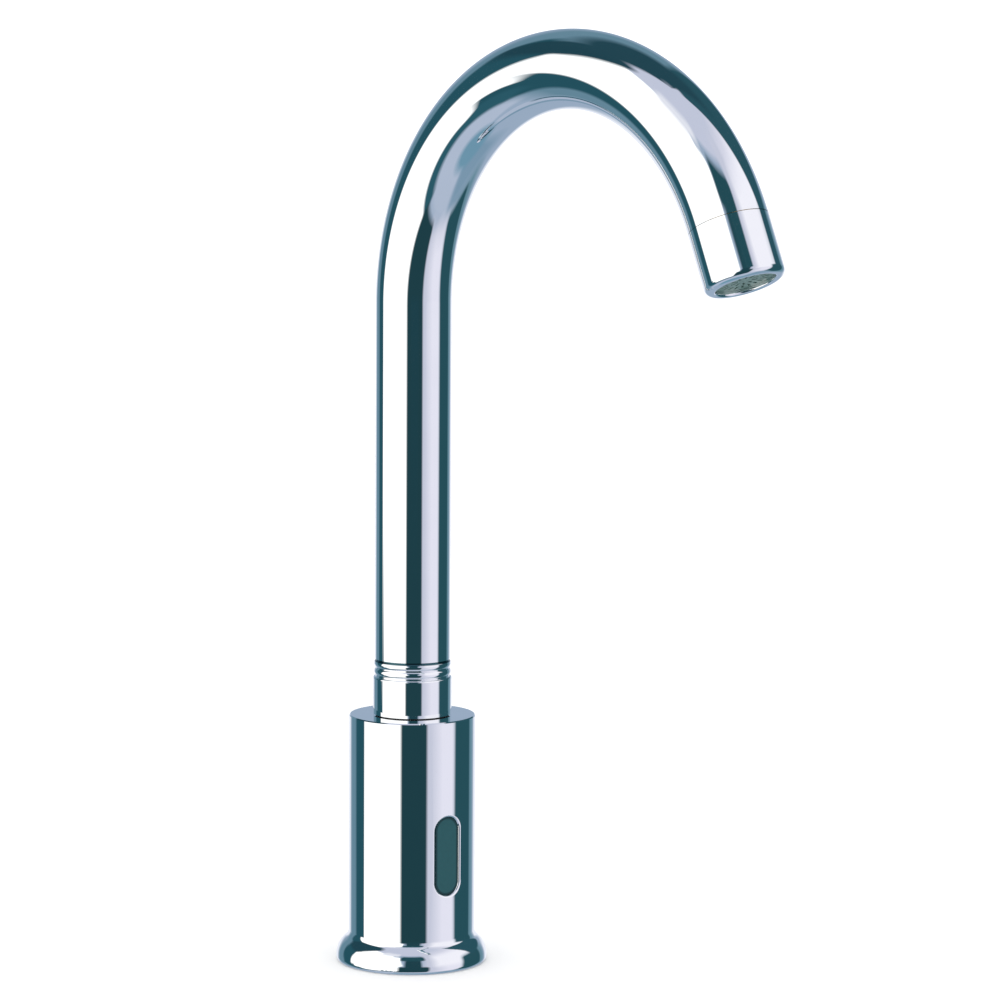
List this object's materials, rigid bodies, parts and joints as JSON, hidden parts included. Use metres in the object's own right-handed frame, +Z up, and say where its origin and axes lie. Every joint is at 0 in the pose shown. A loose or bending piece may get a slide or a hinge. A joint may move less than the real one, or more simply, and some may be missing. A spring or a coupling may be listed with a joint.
{
  "type": "sensor tap",
  "caption": "Deck-mounted sensor basin tap: round chromed body with an upright sensor window on a moulded foot, and a swivelling gooseneck spout with an aerator.",
  "frame": {"origin": "centre of the foot's underside, on the body's axis, midway between the fixing studs", "axes": "+Z up along the body's axis; the sensor window and the outlet face -Y; X is across the tap"},
  "size_m": [0.0562, 0.2132, 0.346],
  "materials": {
    "chrome": "polished chrome plate",
    "lens": "dark infrared-clear plastic",
    "brass": "machined brass",
    "steel": "stainless steel",
    "rubber": "black moulded rubber",
    "moulding": "black glass-filled plastic",
    "aerator": "grey-green plastic",
    "white_plastic": "white low-friction plastic",
    "copper": "enamelled copper wire",
    "circuit_board": "green solder mask"
  },
  "bodies": {
    "tap_body": {"body_shell": "chrome", "base_gasket": "rubber", "base_block": "brass", "base_screws": "steel", "gallery_plug": "brass", "inlet_strainer": "steel", "cable_gland": "rubber", "riser_tube": "brass", "riser_seals": "rubber", "valve_body": "moulding", "valve_circlip": "steel", "diaphragm_membrane": "rubber", "valve_bonnet": "moulding", "bonnet_screws": "steel", "core_tube": "steel", "plunger_spring": "steel", "solenoid_bobbin": "moulding", "coil_winding": "copper", "coil_can": "steel", "coil_nut": "steel", "solenoid_leads": "rubber", "sensor_lens": "lens", "window_seal": "rubber", "sensor_capsule": "moulding", "sensor_cover": "moulding", "sensor_board": "circuit_board", "control_chip": "moulding", "ir_emitter": "lens", "ir_receiver": "lens", "sensor_screws": "steel", "spout_socket": "brass", "socket_seal": "rubber", "thrust_washer": "white_plastic"},
    "spout": {"spout_spigot": "brass", "spigot_rings": "rubber", "retaining_clip": "steel", "spout_collar": "chrome", "spout_tube": "chrome", "outlet_adapter": "brass", "outlet_nozzle": "chrome", "aerator_seal": "rubber", "aerator_cartridge": "aerator", "aerator_screen": "steel", "flow_regulator": "white_plastic"},
    "solenoid_plunger": {"plunger": "steel", "plunger_tip": "rubber"},
    "diaphragm_centre": {"diaphragm_insert": "white_plastic"}
  },
  "joints": [
    {"name": "spout_swivel", "type": "hinge", "parent": "tap_body", "child": "spout", "pos_m": [0, 0, 0.0865], "axis": [0, 0, 1], "continuous": true},
    {"name": "plunger_lift", "type": "slide", "parent": "tap_body", "child": "solenoid_plunger", "axis": [0, 0, -1], "range_m": [0, 0.0018], "stiffness_N_per_m": 200, "springref_m": -0.004, "deforming": ["plunger_spring"]},
    {"name": "diaphragm_lift", "type": "slide", "parent": "tap_body", "child": "diaphragm_centre", "axis": [0, 0, -1], "range_m": [0, 0.0012], "deforming": ["diaphragm_membrane"]}
  ],
  "couplings": [
    {"joint": "diaphragm_lift", "follows": "plunger_lift", "ratio": 0.66}
  ]
}
